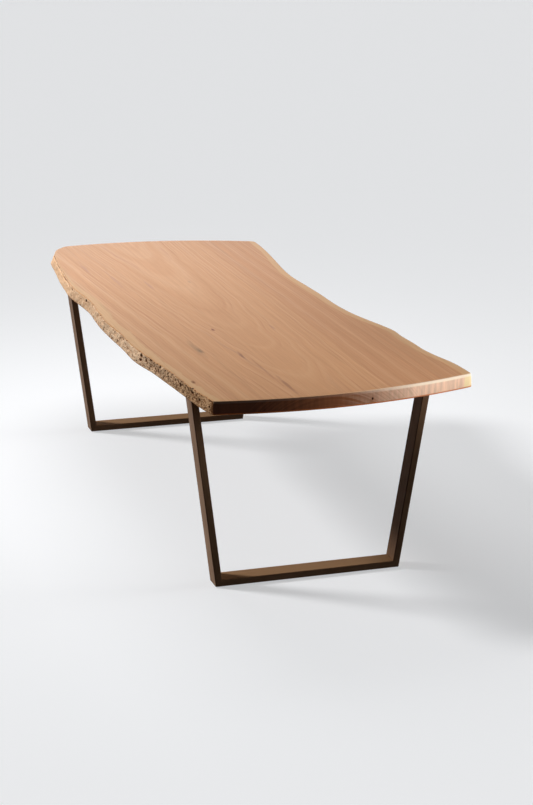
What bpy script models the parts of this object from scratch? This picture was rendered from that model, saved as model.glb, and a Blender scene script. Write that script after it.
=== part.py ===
"""Dining table: a live-edge wood slab on two trapezoid frames of flat rectangular steel tube.

Metres, +Z up, floor at z = 0. +X runs along the table to its near end, +Y across it to the right.
The origin is on the floor under the middle of the slab.
"""

import math

import bmesh
import bpy
import numpy as np
from mathutils import Matrix, Vector

# Whole table
TABLE_HEIGHT = 0.750
FIT_GAP = 0.0003

# Slab
SLAB_LENGTH = 2.364
SLAB_MEAN_WIDTH = 0.929
SLAB_THICKNESS = 0.048
TOP_ARRIS = 0.003
BOTTOM_ARRIS = 0.0025
NEAR_END_BOW_RADIUS = 1.82
NEAR_END_APEX_OFFSET = -0.072
FAR_END_BOW_RADIUS = 1.55
FAR_END_APEX_OFFSET = -0.112
CORNER_ROUND = 0.012
BARK_DEPTH_LEFT = 0.0030
BARK_DEPTH_RIGHT = 0.0012
BARK_WAVE = 0.21
EDGE_STATIONS = 110
END_STATIONS = 24
CORNER_STEPS = 4

# How far each live edge wanders out (+) or in (-) from the mean width, at shares of the length from the middle.
LEFT_EDGE = [
    (-0.500, -0.130), (-0.471, -0.065), (-0.444, -0.039), (-0.410, -0.024), (-0.338, -0.003),
    (-0.254, 0.016), (-0.190, 0.029), (-0.140, 0.022), (-0.085, 0.015), (-0.021, 0.024),
    (0.047, 0.032), (0.110, 0.022), (0.178, 0.023), (0.220, 0.016), (0.271, 0.003),
    (0.338, -0.017), (0.410, -0.031), (0.465, -0.048), (0.500, -0.066),
]
RIGHT_EDGE = [
    (-0.500, -0.001), (-0.444, 0.007), (-0.393, 0.002), (-0.343, -0.009), (-0.296, -0.022),
    (-0.241, -0.038), (-0.199, -0.048), (-0.165, -0.051), (-0.110, -0.046), (-0.042, -0.040),
    (0.025, -0.039), (0.059, -0.034), (0.093, -0.024), (0.135, -0.003), (0.173, 0.019),
    (0.207, 0.033), (0.237, 0.031), (0.279, 0.036), (0.321, 0.038), (0.355, 0.050),
    (0.393, 0.069), (0.431, 0.076), (0.465, 0.075), (0.500, 0.068),
]
# How far the underside stands out beyond the top face, at shares of the length.
LEFT_LEAN = [
    (-0.50, 0.024), (-0.45, 0.018), (-0.39, 0.010), (-0.29, 0.011), (-0.24, 0.009), (-0.18, 0.004),
    (0.00, 0.003), (0.05, -0.001), (0.10, 0.005), (0.16, 0.002), (0.21, 0.006),
    (0.27, -0.002), (0.33, 0.002), (0.40, 0.000), (0.50, 0.003),
]
RIGHT_LEAN = [(-0.50, 0.009), (0.00, 0.006), (0.50, 0.005)]

# Steel frames
END_OVERHANG = 0.289
FOOT_SETBACK = 0.1235
LEG_FLARE_DEG = 8.0
TUBE_DEPTH = 0.070
TUBE_WIDTH = 0.025
TUBE_WALL = 0.0025
TUBE_CORNER = 0.003
ROUNDED_CORNER_STEPS = 4

# Mounting plates
PLATE_WIDTH = 0.080
PLATE_THICKNESS = 0.006
PLATE_CORNER = 0.005
SLOT_LENGTH = 0.025

# Fasteners
BOLTS_PER_FRAME = 4
BOLT_END_MARGIN = 0.109
BOLT_DIAMETER = 0.008
BOLT_LENGTH = 0.025
BOLT_CHAMFER = 0.001
BOLT_CLEARANCE = 0.0005
HEAD_DIAMETER = 0.014
HEAD_HEIGHT = 0.0044
HEAD_RIM = 0.0012
HEAD_CROWN_DIAMETER = 0.007
SOCKET_ACROSS_FLATS = 0.005
SOCKET_DEPTH = 0.0024
WASHER_DIAMETER = 0.024
WASHER_THICKNESS = 0.0016
INSERT_DIAMETER = 0.012
INSERT_LENGTH = 0.020
INSERT_CHAMFER = 0.0008
ROUND_STEPS = 16

# Glides
GLIDE_LENGTH = 0.060
GLIDE_WIDTH = 0.018
GLIDE_THICKNESS = 0.003
GLIDE_CORNER = 0.002
GLIDE_END_MARGIN = 0.030

# Heights and places that follow from the sizes above
SLAB_UNDERSIDE = TABLE_HEIGHT - SLAB_THICKNESS
PLATE_TOP = SLAB_UNDERSIDE - FIT_GAP
PLATE_UNDERSIDE = PLATE_TOP - PLATE_THICKNESS
LEG_TOP = PLATE_UNDERSIDE - FIT_GAP
BAR_UNDERSIDE = GLIDE_THICKNESS + FIT_GAP
LEG_FLARE = math.radians(LEG_FLARE_DEG)
FRAME_REACH = SLAB_LENGTH / 2 - END_OVERHANG
FOOT_WIDTH = SLAB_MEAN_WIDTH - 2 * FOOT_SETBACK
BORE_RADIUS = BOLT_DIAMETER / 2 + BOLT_CLEARANCE


def clear_scene():
    for old in list(bpy.data.objects):
        bpy.data.objects.remove(old)


def new_collection(name, hidden=False):
    collection = bpy.data.collections.new(name)
    collection.hide_render = hidden
    bpy.context.scene.collection.children.link(collection)
    return collection


def new_material(name, colour, roughness, metallic):
    material = bpy.data.materials.new(name)
    material.use_nodes = True
    shader = material.node_tree.nodes["Principled BSDF"]
    shader.inputs["Base Color"].default_value = (*colour, 1.0)
    shader.inputs["Roughness"].default_value = roughness
    shader.inputs["Metallic"].default_value = metallic
    return material


def add_object(name, data, collection, material=None, parent=None):
    added = bpy.data.objects.new(name, data)
    collection.objects.link(added)
    added.parent = parent
    if material:
        added.data.materials.clear()
        added.data.materials.append(material)
    return added


def mesh_from(build, name):
    """A mesh filled by build(bm), with its faces turned outwards."""
    bm = bmesh.new()
    build(bm)
    bmesh.ops.recalc_face_normals(bm, faces=bm.faces)
    mesh = bpy.data.meshes.new(name)
    bm.to_mesh(mesh)
    bm.free()
    return mesh


def shade_round(mesh, angle_deg=35):
    mesh.shade_smooth()
    mesh.set_sharp_from_angle(angle=math.radians(angle_deg))


def bridge(bm, ring, next_ring):
    """Quads between two closed rings of as many points."""
    count = len(ring)
    for i in range(count):
        j = (i + 1) % count
        bm.faces.new((ring[i], ring[j], next_ring[j], next_ring[i]))


# Slab top


def smooth_through(points, share):
    """A smooth curve through hand-chosen (share of the length, value) points, read at one share."""
    shares, values = np.array(points).T
    slopes = np.gradient(values, shares)
    k = int(np.clip(np.searchsorted(shares, share) - 1, 0, len(shares) - 2))
    span = shares[k + 1] - shares[k]
    t = (share - shares[k]) / span
    start = (1 + 2 * t) * (1 - t) ** 2 * values[k] + t * (1 - t) ** 2 * span * slopes[k]
    end = t * t * (3 - 2 * t) * values[k + 1] + t * t * (t - 1) * span * slopes[k + 1]
    return float(start + end)


def bark(x, drop, depth):
    """Lumps and hollows left where the bark came off; drop runs from 0 at the top to 1 underneath."""
    turn = 2 * math.pi * x / BARK_WAVE
    lumps = 0.5 * math.sin(turn + 1.3 * math.sin(0.3 * turn))
    knobs = 0.3 * math.sin(2.4 * turn + 5 * drop)
    pits = 0.2 * math.sin(5.1 * turn - 7 * drop)
    return depth * math.sin(math.pi * drop) * (lumps + knobs + pits)


def left_edge(x, drop, inset):
    share = x / SLAB_LENGTH
    out = SLAB_MEAN_WIDTH / 2 + smooth_through(LEFT_EDGE, share) + drop * smooth_through(LEFT_LEAN, share)
    return -(out + bark(x, drop, BARK_DEPTH_LEFT) - inset)


def right_edge(x, drop, inset):
    share = x / SLAB_LENGTH
    out = SLAB_MEAN_WIDTH / 2 + smooth_through(RIGHT_EDGE, share) + drop * smooth_through(RIGHT_LEAN, share)
    return out + bark(x, drop, BARK_DEPTH_RIGHT) - inset


def bowed_end(y, apex_offset, radius, inset):
    """How far along the table an end saw cut lies: a shallow arc with its apex off the middle line."""
    return SLAB_LENGTH / 2 - inset - radius + math.sqrt(radius**2 - (y - apex_offset) ** 2)


def near_end(y, inset):
    return bowed_end(y, NEAR_END_APEX_OFFSET, NEAR_END_BOW_RADIUS, inset)


def far_end(y, inset):
    return -bowed_end(y, FAR_END_APEX_OFFSET, FAR_END_BOW_RADIUS, inset)


def corner_point(edge, end, drop, inset):
    """Where a live edge meets an end cut."""
    x = end(0.0, inset)
    for _ in range(40):
        x = end(edge(x, drop, inset), inset)
    return Vector((x, edge(x, drop, inset)))


def rounded_corner(before, corner, after):
    """The points inside a small round from one side of a corner to the other."""
    points = []
    for step in range(1, CORNER_STEPS):
        t = step / CORNER_STEPS
        points.append(before * (1 - t) ** 2 + corner * 2 * t * (1 - t) + after * t * t)
    return points


def slab_outline(drop, inset):
    """The closed outline of the slab at one height, counter-clockwise from its far left corner."""
    corners = {
        (edge, end): corner_point(edge, end, drop, inset)
        for edge in (left_edge, right_edge)
        for end in (far_end, near_end)
    }

    def along_edge(edge, start, stop):
        shares = np.linspace(0, 1, EDGE_STATIONS)
        low, high = corners[edge, start].x, corners[edge, stop].x
        step_back = math.copysign(CORNER_ROUND, high - low)
        xs = low + step_back + (high - low - 2 * step_back) * shares
        return [Vector((x, edge(x, drop, inset))) for x in xs]

    def across_end(end, start, stop):
        shares = np.linspace(0, 1, END_STATIONS)
        low, high = corners[start, end].y, corners[stop, end].y
        step_back = math.copysign(CORNER_ROUND, high - low)
        ys = low + step_back + (high - low - 2 * step_back) * shares
        return [Vector((end(y, inset), y)) for y in ys]

    runs = [
        (along_edge(left_edge, far_end, near_end), corners[left_edge, near_end]),
        (across_end(near_end, left_edge, right_edge), corners[right_edge, near_end]),
        (along_edge(right_edge, near_end, far_end), corners[right_edge, far_end]),
        (across_end(far_end, right_edge, left_edge), corners[left_edge, far_end]),
    ]
    outline = []
    for index, (run, corner) in enumerate(runs):
        following = runs[(index + 1) % len(runs)][0]
        outline += run + rounded_corner(run[-1], corner, following[0])
    return outline


def slab_levels():
    """(drop from 0 to 1, height, inset) of each outline that the slab is lofted through, from the top down."""
    levels = []
    for turn in (0, 30, 60, 90):
        angle = math.radians(turn)
        height = TABLE_HEIGHT - TOP_ARRIS * (1 - math.cos(angle))
        levels.append((0.0, height, TOP_ARRIS * (1 - math.sin(angle))))
    for drop in (0.3, 0.5, 0.7):
        levels.append((drop, TABLE_HEIGHT - drop * SLAB_THICKNESS, 0.0))
    for turn in (0, 45, 90):
        angle = math.radians(turn)
        height = SLAB_UNDERSIDE + BOTTOM_ARRIS * (1 - math.sin(angle))
        levels.append((1.0, height, BOTTOM_ARRIS * (1 - math.cos(angle))))
    return levels


def insert_places():
    """Where the inserts sit in the slab's underside, seen from above."""
    for side in (-1, 1):
        for index in range(BOLTS_PER_FRAME):
            yield side * FRAME_REACH, bolt_y(index)


def make_slab(parts, cutters, wood):
    outlines = [(height, slab_outline(drop, inset)) for drop, height, inset in slab_levels()]
    across = [point.y for _, outline in outlines for point in outline]
    along = [point.x for _, outline in outlines for point in outline]
    centre = Vector((min(along) + max(along), min(across) + max(across))) / 2

    def loft(bm):
        rings = []
        for height, outline in outlines:
            rings.append([bm.verts.new((*(point - centre), height)) for point in outline])
        for upper, lower in zip(rings, rings[1:]):
            bridge(bm, upper, lower)
        bm.faces.new(rings[0])
        bm.faces.new(rings[-1])

    mesh = mesh_from(loft, "slab_top")
    shade_round(mesh)
    slab = add_object("slab_top", mesh, parts, wood)

    def pilot_holes(bm):
        depth = INSERT_LENGTH + 2 * FIT_GAP
        for x, y in insert_places():
            centre_height = SLAB_UNDERSIDE + FIT_GAP
            bmesh.ops.create_cone(
                bm, cap_ends=True, segments=ROUND_STEPS, depth=2 * depth,
                radius1=INSERT_DIAMETER / 2 + FIT_GAP, radius2=INSERT_DIAMETER / 2 + FIT_GAP,
                matrix=Matrix.Translation((x, y, centre_height)),
            )

    holes = add_object("insert_holes", mesh_from(pilot_holes, "insert_holes"), cutters)
    holes.display_type = "WIRE"
    holes.hide_render = True
    cut = slab.modifiers.new("insert holes", "BOOLEAN")
    cut.object = holes
    return slab


# Steel frames


def rounded_rectangle(depth, width, radius):
    """Points round a rectangle with rounded corners: (along the table, across the tube or plate)."""
    points = []
    for quarter, (sx, sw) in enumerate(((1, 1), (-1, 1), (-1, -1), (1, -1))):
        centre_x = sx * (depth / 2 - radius)
        centre_w = sw * (width / 2 - radius)
        for step in range(ROUNDED_CORNER_STEPS + 1):
            angle = math.radians(90) * (quarter + step / ROUNDED_CORNER_STEPS)
            points.append((centre_x + radius * math.cos(angle), centre_w + radius * math.sin(angle)))
    return points


def cut_length(middle, along, point, line):
    """How far along a tube's line the cut through point lies, where line is the cut's slope in the frame."""
    offset = middle - point
    return -(offset.cross(line)) / along.cross(line)


def tube_mesh(name, middle, along, start_cut, end_cut):
    """A hollow rectangular tube along a line in the frame's plane, open at two slanted end cuts.

    Each cut is (point, slope) in the (across, up) plane, and runs straight through the tube's depth.
    """
    across = Vector((-along.y, along.x))
    outer = rounded_rectangle(TUBE_DEPTH, TUBE_WIDTH, TUBE_CORNER)
    inner_corner = max(TUBE_CORNER - TUBE_WALL, TUBE_WALL / 5)
    inner = rounded_rectangle(TUBE_DEPTH - 2 * TUBE_WALL, TUBE_WIDTH - 2 * TUBE_WALL, inner_corner)

    def ring(bm, section, cut):
        verts = []
        for x, w in section:
            base = middle + across * w
            spot = base + along * cut_length(base, along, *cut)
            verts.append(bm.verts.new((x, spot.x, spot.y)))
        return verts

    def build(bm):
        outer_start, outer_end = ring(bm, outer, start_cut), ring(bm, outer, end_cut)
        inner_start, inner_end = ring(bm, inner, start_cut), ring(bm, inner, end_cut)
        bridge(bm, outer_start, outer_end)
        bridge(bm, inner_end, inner_start)
        bridge(bm, inner_start, outer_start)
        bridge(bm, outer_end, inner_end)

    mesh = mesh_from(build, name)
    shade_round(mesh)
    return mesh


def foot_corner(side):
    """The outer and inner corner points of a leg's mitre with the floor bar, and the leg's direction."""
    leg = Vector((side * math.sin(LEG_FLARE), math.cos(LEG_FLARE)))
    inwards = Vector((-side * math.cos(LEG_FLARE), math.sin(LEG_FLARE)))
    outer = Vector((side * FOOT_WIDTH / 2, BAR_UNDERSIDE))
    on_inner_face = outer + inwards * TUBE_WIDTH
    rise = (BAR_UNDERSIDE + TUBE_WIDTH - on_inner_face.y) / leg.y
    return outer, on_inner_face + leg * rise, leg, inwards


def leg_top_reach():
    """How far out a leg's outer face stands where it meets the mounting plate."""
    return FOOT_WIDTH / 2 + (PLATE_UNDERSIDE - BAR_UNDERSIDE) * math.tan(LEG_FLARE)


def leg_mesh(name, side):
    outer, inner, leg, inwards = foot_corner(side)
    mitre = (outer + leg * FIT_GAP / 2, inner - outer)
    top = (Vector((0, LEG_TOP)), Vector((1, 0)))
    return tube_mesh(name, outer + inwards * TUBE_WIDTH / 2, leg, mitre, top)


def floor_bar_mesh(name):
    cuts = []
    for side in (-1, 1):
        outer, inner, _, _ = foot_corner(side)
        cuts.append((outer - Vector((side * FIT_GAP / 2, 0)), inner - outer))
    return tube_mesh(name, Vector((0, BAR_UNDERSIDE + TUBE_WIDTH / 2)), Vector((1, 0)), *cuts)


def bolt_y(index):
    """Where a bolt sits across the table: evenly spread, the outer two a margin in from the plate's ends."""
    outermost = leg_top_reach() - BOLT_END_MARGIN
    return outermost * (2 * index / (BOLTS_PER_FRAME - 1) - 1)


def stadium(centre_y, length, width):
    """A slot's outline along the plate, as (x, y) points."""
    points = []
    for end, start_angle in ((1, 0), (-1, 180)):
        for step in range(ROUND_STEPS // 2 + 1):
            angle = math.radians(start_angle + 180 * step / (ROUND_STEPS // 2))
            x = width / 2 * math.cos(angle)
            points.append((x, centre_y + end * (length - width) / 2 + width / 2 * math.sin(angle)))
    return points


def plate_curve(name):
    curve = bpy.data.curves.new(name, "CURVE")
    curve.dimensions = "2D"
    curve.fill_mode = "BOTH"
    curve.extrude = PLATE_THICKNESS / 2
    slot_width = 2 * BORE_RADIUS
    slots = [stadium(bolt_y(index), SLOT_LENGTH, slot_width) for index in range(BOLTS_PER_FRAME)]
    edge = rounded_rectangle(PLATE_WIDTH, 2 * leg_top_reach(), PLATE_CORNER)
    for outline in [edge, *slots]:
        spline = curve.splines.new("POLY")
        spline.points.add(len(outline) - 1)
        for point, (x, y) in zip(spline.points, outline):
            point.co = (x, y, 0, 1)
        spline.use_cyclic_u = True
    return curve


# Fasteners


def turned(name, profile, closed, cutters):
    """A round piece turned from a (radius, height) profile that runs down its outer side."""

    def outline(bm):
        verts = [bm.verts.new((radius, 0, height)) for radius, height in profile]
        for first, second in zip(verts, verts[1:]):
            bm.edges.new((first, second))
        if closed:
            bm.edges.new((verts[-1], verts[0]))

    piece = add_object(name, mesh_from(outline, name), cutters)
    spin = piece.modifiers.new("turn", "SCREW")
    spin.steps = ROUND_STEPS
    spin.render_steps = ROUND_STEPS
    spin.use_merge_vertices = True
    spin.merge_threshold = 0.00001
    return piece


def finished_mesh(piece):
    """The mesh that a pattern piece's modifiers give, for its copies to share."""
    graph = bpy.context.evaluated_depsgraph_get()
    mesh = bpy.data.meshes.new_from_object(piece.evaluated_get(graph))
    mesh.name = piece.name
    bpy.data.objects.remove(piece)
    shade_round(mesh)
    return mesh


def insert_mesh(cutters):
    radius = INSERT_DIAMETER / 2
    profile = [
        (BORE_RADIUS, INSERT_LENGTH),
        (radius - INSERT_CHAMFER, INSERT_LENGTH),
        (radius, INSERT_LENGTH - INSERT_CHAMFER),
        (radius, 0),
        (BORE_RADIUS, 0),
    ]
    return finished_mesh(turned("insert", profile, True, cutters))


def washer_mesh(cutters):
    profile = [
        (BORE_RADIUS, WASHER_THICKNESS),
        (WASHER_DIAMETER / 2, WASHER_THICKNESS),
        (WASHER_DIAMETER / 2, 0),
        (BORE_RADIUS, 0),
    ]
    return finished_mesh(turned("washer", profile, True, cutters))


def bolt_mesh(cutters):
    """A button-head bolt, from the underside of its head (height 0) up to its tip."""
    shank, head, crown = BOLT_DIAMETER / 2, HEAD_DIAMETER / 2, HEAD_CROWN_DIAMETER / 2
    profile = [
        (0, BOLT_LENGTH),
        (shank - BOLT_CHAMFER, BOLT_LENGTH),
        (shank, BOLT_LENGTH - BOLT_CHAMFER),
        (shank, 0),
        (head, 0),
    ]
    for turn in (0, 30, 60, 90):
        angle = math.radians(turn)
        radius = crown + (head - crown) * math.cos(angle)
        profile.append((radius, -HEAD_RIM - (HEAD_HEIGHT - HEAD_RIM) * math.sin(angle)))
    profile.append((0, -HEAD_HEIGHT))
    bolt = turned("bolt", profile, False, cutters)

    def hex_key(bm):
        radius = SOCKET_ACROSS_FLATS / 2 / math.cos(math.radians(30))
        bmesh.ops.create_cone(
            bm, cap_ends=True, segments=6, depth=2 * SOCKET_DEPTH, radius1=radius, radius2=radius,
            matrix=Matrix.Translation((0, 0, -HEAD_HEIGHT)),
        )

    key = add_object("hex_socket", mesh_from(hex_key, "hex_socket"), cutters)
    bolt.modifiers.new("hex socket", "BOOLEAN").object = key
    mesh = finished_mesh(bolt)
    bpy.data.objects.remove(key)
    return mesh


# Glides


def glide_mesh():
    def pad(bm):
        bmesh.ops.create_cube(bm, matrix=Matrix.Diagonal((GLIDE_WIDTH, GLIDE_LENGTH, GLIDE_THICKNESS, 1)))
        upright = [e for e in bm.edges if abs(e.verts[0].co.z - e.verts[1].co.z) > GLIDE_THICKNESS / 2]
        bmesh.ops.bevel(bm, geom=upright, offset=GLIDE_CORNER, segments=3, affect="EDGES", profile=0.5)

    return mesh_from(pad, "glide")


# The whole table


def make_frame(end, x, parts, materials, shared):
    """One trapezoid frame with its plate, fasteners and glides, parented to an empty on the floor."""
    frame = add_object(f"{end}_frame", None, parts)
    frame.location = (x, 0, 0)

    def place(name, piece, material, y=0.0, z=0.0):
        placed = add_object(f"{end}_{name}", shared[piece], parts, materials[material], frame)
        placed.location = (0, y, z)

    place("left_leg", "left_leg", "paint")
    place("right_leg", "right_leg", "paint")
    place("floor_bar", "floor_bar", "paint")
    place("top_plate", "top_plate", "paint", z=PLATE_TOP - PLATE_THICKNESS / 2)
    washer_seat = PLATE_UNDERSIDE - FIT_GAP - WASHER_THICKNESS
    for index in range(BOLTS_PER_FRAME):
        y = bolt_y(index)
        place(f"insert_{index + 1}", "insert", "brass", y, SLAB_UNDERSIDE + FIT_GAP)
        place(f"washer_{index + 1}", "washer", "zinc", y, washer_seat)
        place(f"bolt_{index + 1}", "bolt", "zinc", y, washer_seat - FIT_GAP)
    glide_reach = FOOT_WIDTH / 2 - GLIDE_END_MARGIN - GLIDE_LENGTH / 2
    place("left_glide", "glide", "rubber", -glide_reach, GLIDE_THICKNESS / 2)
    place("right_glide", "glide", "rubber", glide_reach, GLIDE_THICKNESS / 2)


def make_table():
    clear_scene()
    parts = new_collection("dining_table")
    cutters = new_collection("dining_table_cutters", hidden=True)
    materials = {
        "wood": new_material("oiled_hardwood", (0.50, 0.29, 0.17), 0.42, 0.0),
        "paint": new_material("bronze_powder_coat", (0.075, 0.052, 0.036), 0.45, 0.3),
        "zinc": new_material("zinc_plated_steel", (0.55, 0.55, 0.53), 0.35, 1.0),
        "brass": new_material("brass", (0.60, 0.45, 0.20), 0.4, 1.0),
        "rubber": new_material("black_glide", (0.03, 0.03, 0.03), 0.7, 0.0),
    }
    make_slab(parts, cutters, materials["wood"])
    shared = {
        "left_leg": leg_mesh("left_leg", -1),
        "right_leg": leg_mesh("right_leg", 1),
        "floor_bar": floor_bar_mesh("floor_bar"),
        "top_plate": plate_curve("top_plate"),
        "insert": insert_mesh(cutters),
        "washer": washer_mesh(cutters),
        "bolt": bolt_mesh(cutters),
        "glide": glide_mesh(),
    }
    for end, side in (("near", 1), ("far", -1)):
        make_frame(end, side * FRAME_REACH, parts, materials, shared)


make_table()
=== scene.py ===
import math

import bmesh
import bpy
import numpy as np
from mathutils import Matrix, Vector, geometry, kdtree, noise


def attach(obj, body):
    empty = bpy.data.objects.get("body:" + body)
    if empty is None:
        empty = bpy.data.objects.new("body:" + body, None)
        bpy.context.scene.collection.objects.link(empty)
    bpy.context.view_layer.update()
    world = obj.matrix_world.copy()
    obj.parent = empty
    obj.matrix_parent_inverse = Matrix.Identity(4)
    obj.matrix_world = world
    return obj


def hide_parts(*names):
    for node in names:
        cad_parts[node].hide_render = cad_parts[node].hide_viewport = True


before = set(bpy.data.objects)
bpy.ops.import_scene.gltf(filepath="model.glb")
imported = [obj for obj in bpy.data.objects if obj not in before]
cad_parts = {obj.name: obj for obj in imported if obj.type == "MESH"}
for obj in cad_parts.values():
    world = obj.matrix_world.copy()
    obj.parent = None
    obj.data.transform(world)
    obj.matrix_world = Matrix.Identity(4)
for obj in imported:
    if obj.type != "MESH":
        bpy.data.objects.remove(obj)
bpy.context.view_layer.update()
scene = bpy.context.scene

# Slab top. One board of pinkish-tan hardwood sawn right through a log, so both long sides are live edges,
# the left one worm-eaten under its bark and the right one scraped smooth. Both ends are saw cuts on a
# shallow bow. The faces are planed, sanded and oiled to a satin sheen, and every arris is eased.
SAME_POINT, SAME_HEIGHT, SAME_LEVEL = 0.00001, 0.00002, 0.0001
FLAT_FACE = 0.999
OUTLINE_POINTS = 100


def closed_loops(pairs):
    """The closed loops of points that a set of edges makes."""
    beside = {}
    for first, second in pairs:
        beside.setdefault(first, []).append(second)
        beside.setdefault(second, []).append(first)
    loops = []
    while beside:
        loop = [next(iter(beside))]
        while True:
            following = [point for point in beside.pop(loop[-1]) if point in beside]
            if not following:
                break
            loop.append(following[0])
        loops.append(np.array([point.co for point in loop]))
    return loops


def nearest_on(loop, points):
    """The point on a closed outline that lies nearest to each of the given points."""
    ends = np.roll(loop, -1, axis=0)
    spans = (ends - loop)[None, :, :2]
    offsets = points[:, None, :2] - loop[None, :, :2]
    shares = np.clip((offsets * spans).sum(axis=2) / np.maximum((spans**2).sum(axis=2), 1e-12), 0, 1)
    spots = loop[None, :, :2] + spans * shares[:, :, None]
    best = np.linalg.norm(points[:, None, :2] - spots, axis=2).argmin(axis=1)
    flat = spots[np.arange(len(points)), best]
    return np.column_stack((flat, np.full(len(points), loop[0, 2])))


def slab_outlines(node):
    """The outlines that the CAD slab is lofted through, top first, and the rims of its insert holes."""
    bm = bmesh.new()
    bm.from_mesh(node.data)
    bmesh.ops.remove_doubles(bm, verts=bm.verts, dist=SAME_POINT)
    levels = {}
    for edge in bm.edges:
        first, second = edge.verts
        level = abs(first.co.z - second.co.z) < SAME_HEIGHT
        if level and any(abs(face.normal.z) < FLAT_FACE for face in edge.link_faces):
            levels.setdefault(round(first.co.z, 4), []).append((first, second))
    outlines, rims = [], []
    for height in sorted(levels, reverse=True):
        for loop in closed_loops(levels[height]):
            (outlines if len(loop) > OUTLINE_POINTS else rims).append(loop)
    bm.free()
    half = len(outlines) // 2
    matched = list(outlines)
    turn = np.roll(outlines[half], -1, axis=0)
    area = np.sum(outlines[half][:, 0] * turn[:, 1] - outlines[half][:, 1] * turn[:, 0])
    middle = outlines[half] if area > 0 else outlines[half][::-1]
    matched[half] = np.roll(middle, -middle[:, 0].argmax(), axis=0)
    for step in (-1, 1):
        for level in range(half + step, len(outlines) if step > 0 else -1, step):
            matched[level] = nearest_on(outlines[level], matched[level - step])
    return np.array(matched), rims


def smooth_between(values, places, wanted):
    """Values at wanted places on a smooth curve through the given ones, along the first axis."""
    slopes = np.gradient(values, places, axis=0)
    k = np.clip(np.searchsorted(places, wanted, side="right") - 1, 0, len(places) - 2)
    span = places[k + 1] - places[k]
    shape = (-1,) + (1,) * (values.ndim - 1)
    t, span = ((wanted - places[k]) / span).reshape(shape), span.reshape(shape)
    start = (1 + 2 * t) * (1 - t) ** 2 * values[k] + t * (1 - t) ** 2 * span * slopes[k]
    return start + t * t * (3 - 2 * t) * values[k + 1] + t * t * (t - 1) * span * slopes[k + 1]


# The sides in the order an outline meets them, and the spacing of points along each and down them all.
SIDES = ("near end", "right edge", "far end", "left edge", "near end")
SIDE_STEPS = {"near end": 0.006, "far end": 0.006, "right edge": 0.005, "left edge": 0.0018}
DOWN_STEP = 0.0018
CORNER_SEGMENT, CORNER_RUN = 0.012, 3
ARRIS_DROP = 0.005


def finer_columns(outlines):
    """The outlines with many more points along them, and the side of the slab that each point is on."""
    middle = outlines[len(outlines) // 2]
    lengths = np.linalg.norm(np.roll(middle, -1, axis=0) - middle, axis=1)
    run, short, wanted, sides = 0, 0, [], []
    places = np.concatenate(([0], np.cumsum(lengths)))
    for index, length in enumerate(lengths):
        short = short + 1 if length < CORNER_SEGMENT else 0
        if short == CORNER_RUN:
            run += 1
        side = SIDES[run]
        count = max(1, math.ceil(length / SIDE_STEPS[side]))
        wanted += [places[index] + length * part / count for part in range(count)]
        sides += [side] * count
    wrapped = np.concatenate((outlines[:, -3:], outlines, outlines[:, :4]), axis=1)
    total = places[-1]
    wrapped_places = np.concatenate((places[-4:-1] - total, places, total + places[1:4]))
    fine = smooth_between(np.swapaxes(wrapped, 0, 1), wrapped_places, np.array(wanted))
    return np.swapaxes(fine, 0, 1), sides


def finer_levels(outlines):
    """More outlines down the slab's side, between its two rounded arrises, and the first of them."""
    heights = outlines[:, 0, 2]
    drops = np.abs(np.diff(heights))
    first = int(np.argmax(drops > ARRIS_DROP))
    last = len(drops) - int(np.argmax(drops[::-1] > ARRIS_DROP))
    count = math.ceil((heights[first] - heights[last]) / DOWN_STEP)
    wanted = -np.linspace(heights[first], heights[last], count + 1)
    side = smooth_between(outlines[first : last + 1], -heights[first : last + 1], wanted)
    return np.concatenate((outlines[:first], side, outlines[last + 1 :])), first


def swell(amount, low, high):
    """0 below low, 1 above high, and a smooth rise between."""
    t = min(max((amount - low) / (high - low), 0.0), 1.0)
    return t * t * (3 - 2 * t)


# How far each kind of wear cuts into the left live edge; its skin and the ridges stand out instead.
LUMP, KNOB, GRIT, SKIN = 0.0018, 0.0013, 0.0008, 0.0004
PIT, GALLERY, RIDGE = 0.0036, 0.0058, 0.0009
SCOOP, CREASE, CHIP = 0.004, 0.005, 0.0035
PIT_SPACING, GALLERY_SPACING, PIT_SQUATNESS, PIT_SLICE = 0.0075, 0.0150, 1.15, 0.37
# Where it is worn: from clean to full wear along the table, one scoop, and one crease under the top.
WORN_FROM, WORN_TO = -0.75, 0.45
SCOOP_PLACE, CREASE_PLACE, CREASE_HEIGHT = 0.665, -0.76, 0.7410
ENDS_FADE, UNDERSIDE_FROM, UNDERSIDE_TO = 7, 0.7015, 0.7065
# Single worm holes that stand out, as (along the table, height, radius, depth).
WORM_HOLES = [
    (-0.505, 0.739, 0.005, 0.005), (-0.437, 0.740, 0.006, 0.006), (0.22, 0.739, 0.008, 0.006),
    (0.38, 0.722, 0.006, 0.007), (0.54, 0.738, 0.006, 0.007), (0.58, 0.741, 0.005, 0.006),
    (0.65, 0.730, 0.005, 0.006), (0.69, 0.722, 0.008, 0.007), (0.83, 0.741, 0.006, 0.008),
    (0.85, 0.738, 0.005, 0.007), (0.97, 0.736, 0.006, 0.006), (1.06, 0.728, 0.007, 0.006),
]


def eaten(x, z, spacing, share):
    """How far a point lies inside a pit, and on the ridge between two; only a share of the cells is eaten."""
    distances, points = noise.voronoi(Vector((x / spacing, z / spacing * PIT_SQUATNESS, PIT_SLICE)))
    cell = points[0]
    width = 0.32 + 0.30 * abs(noise.cell(cell * 7.3))
    pit = swell(-distances[0], -width, -0.55 * width) * (0.45 + 0.55 * abs(noise.cell(cell * 3.7)))
    pit *= swell(share - abs(noise.cell(cell * 5.9)), 0.0, 0.2)
    return pit, swell(-(distances[1] - distances[0]), -0.35, -0.05)


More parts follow.
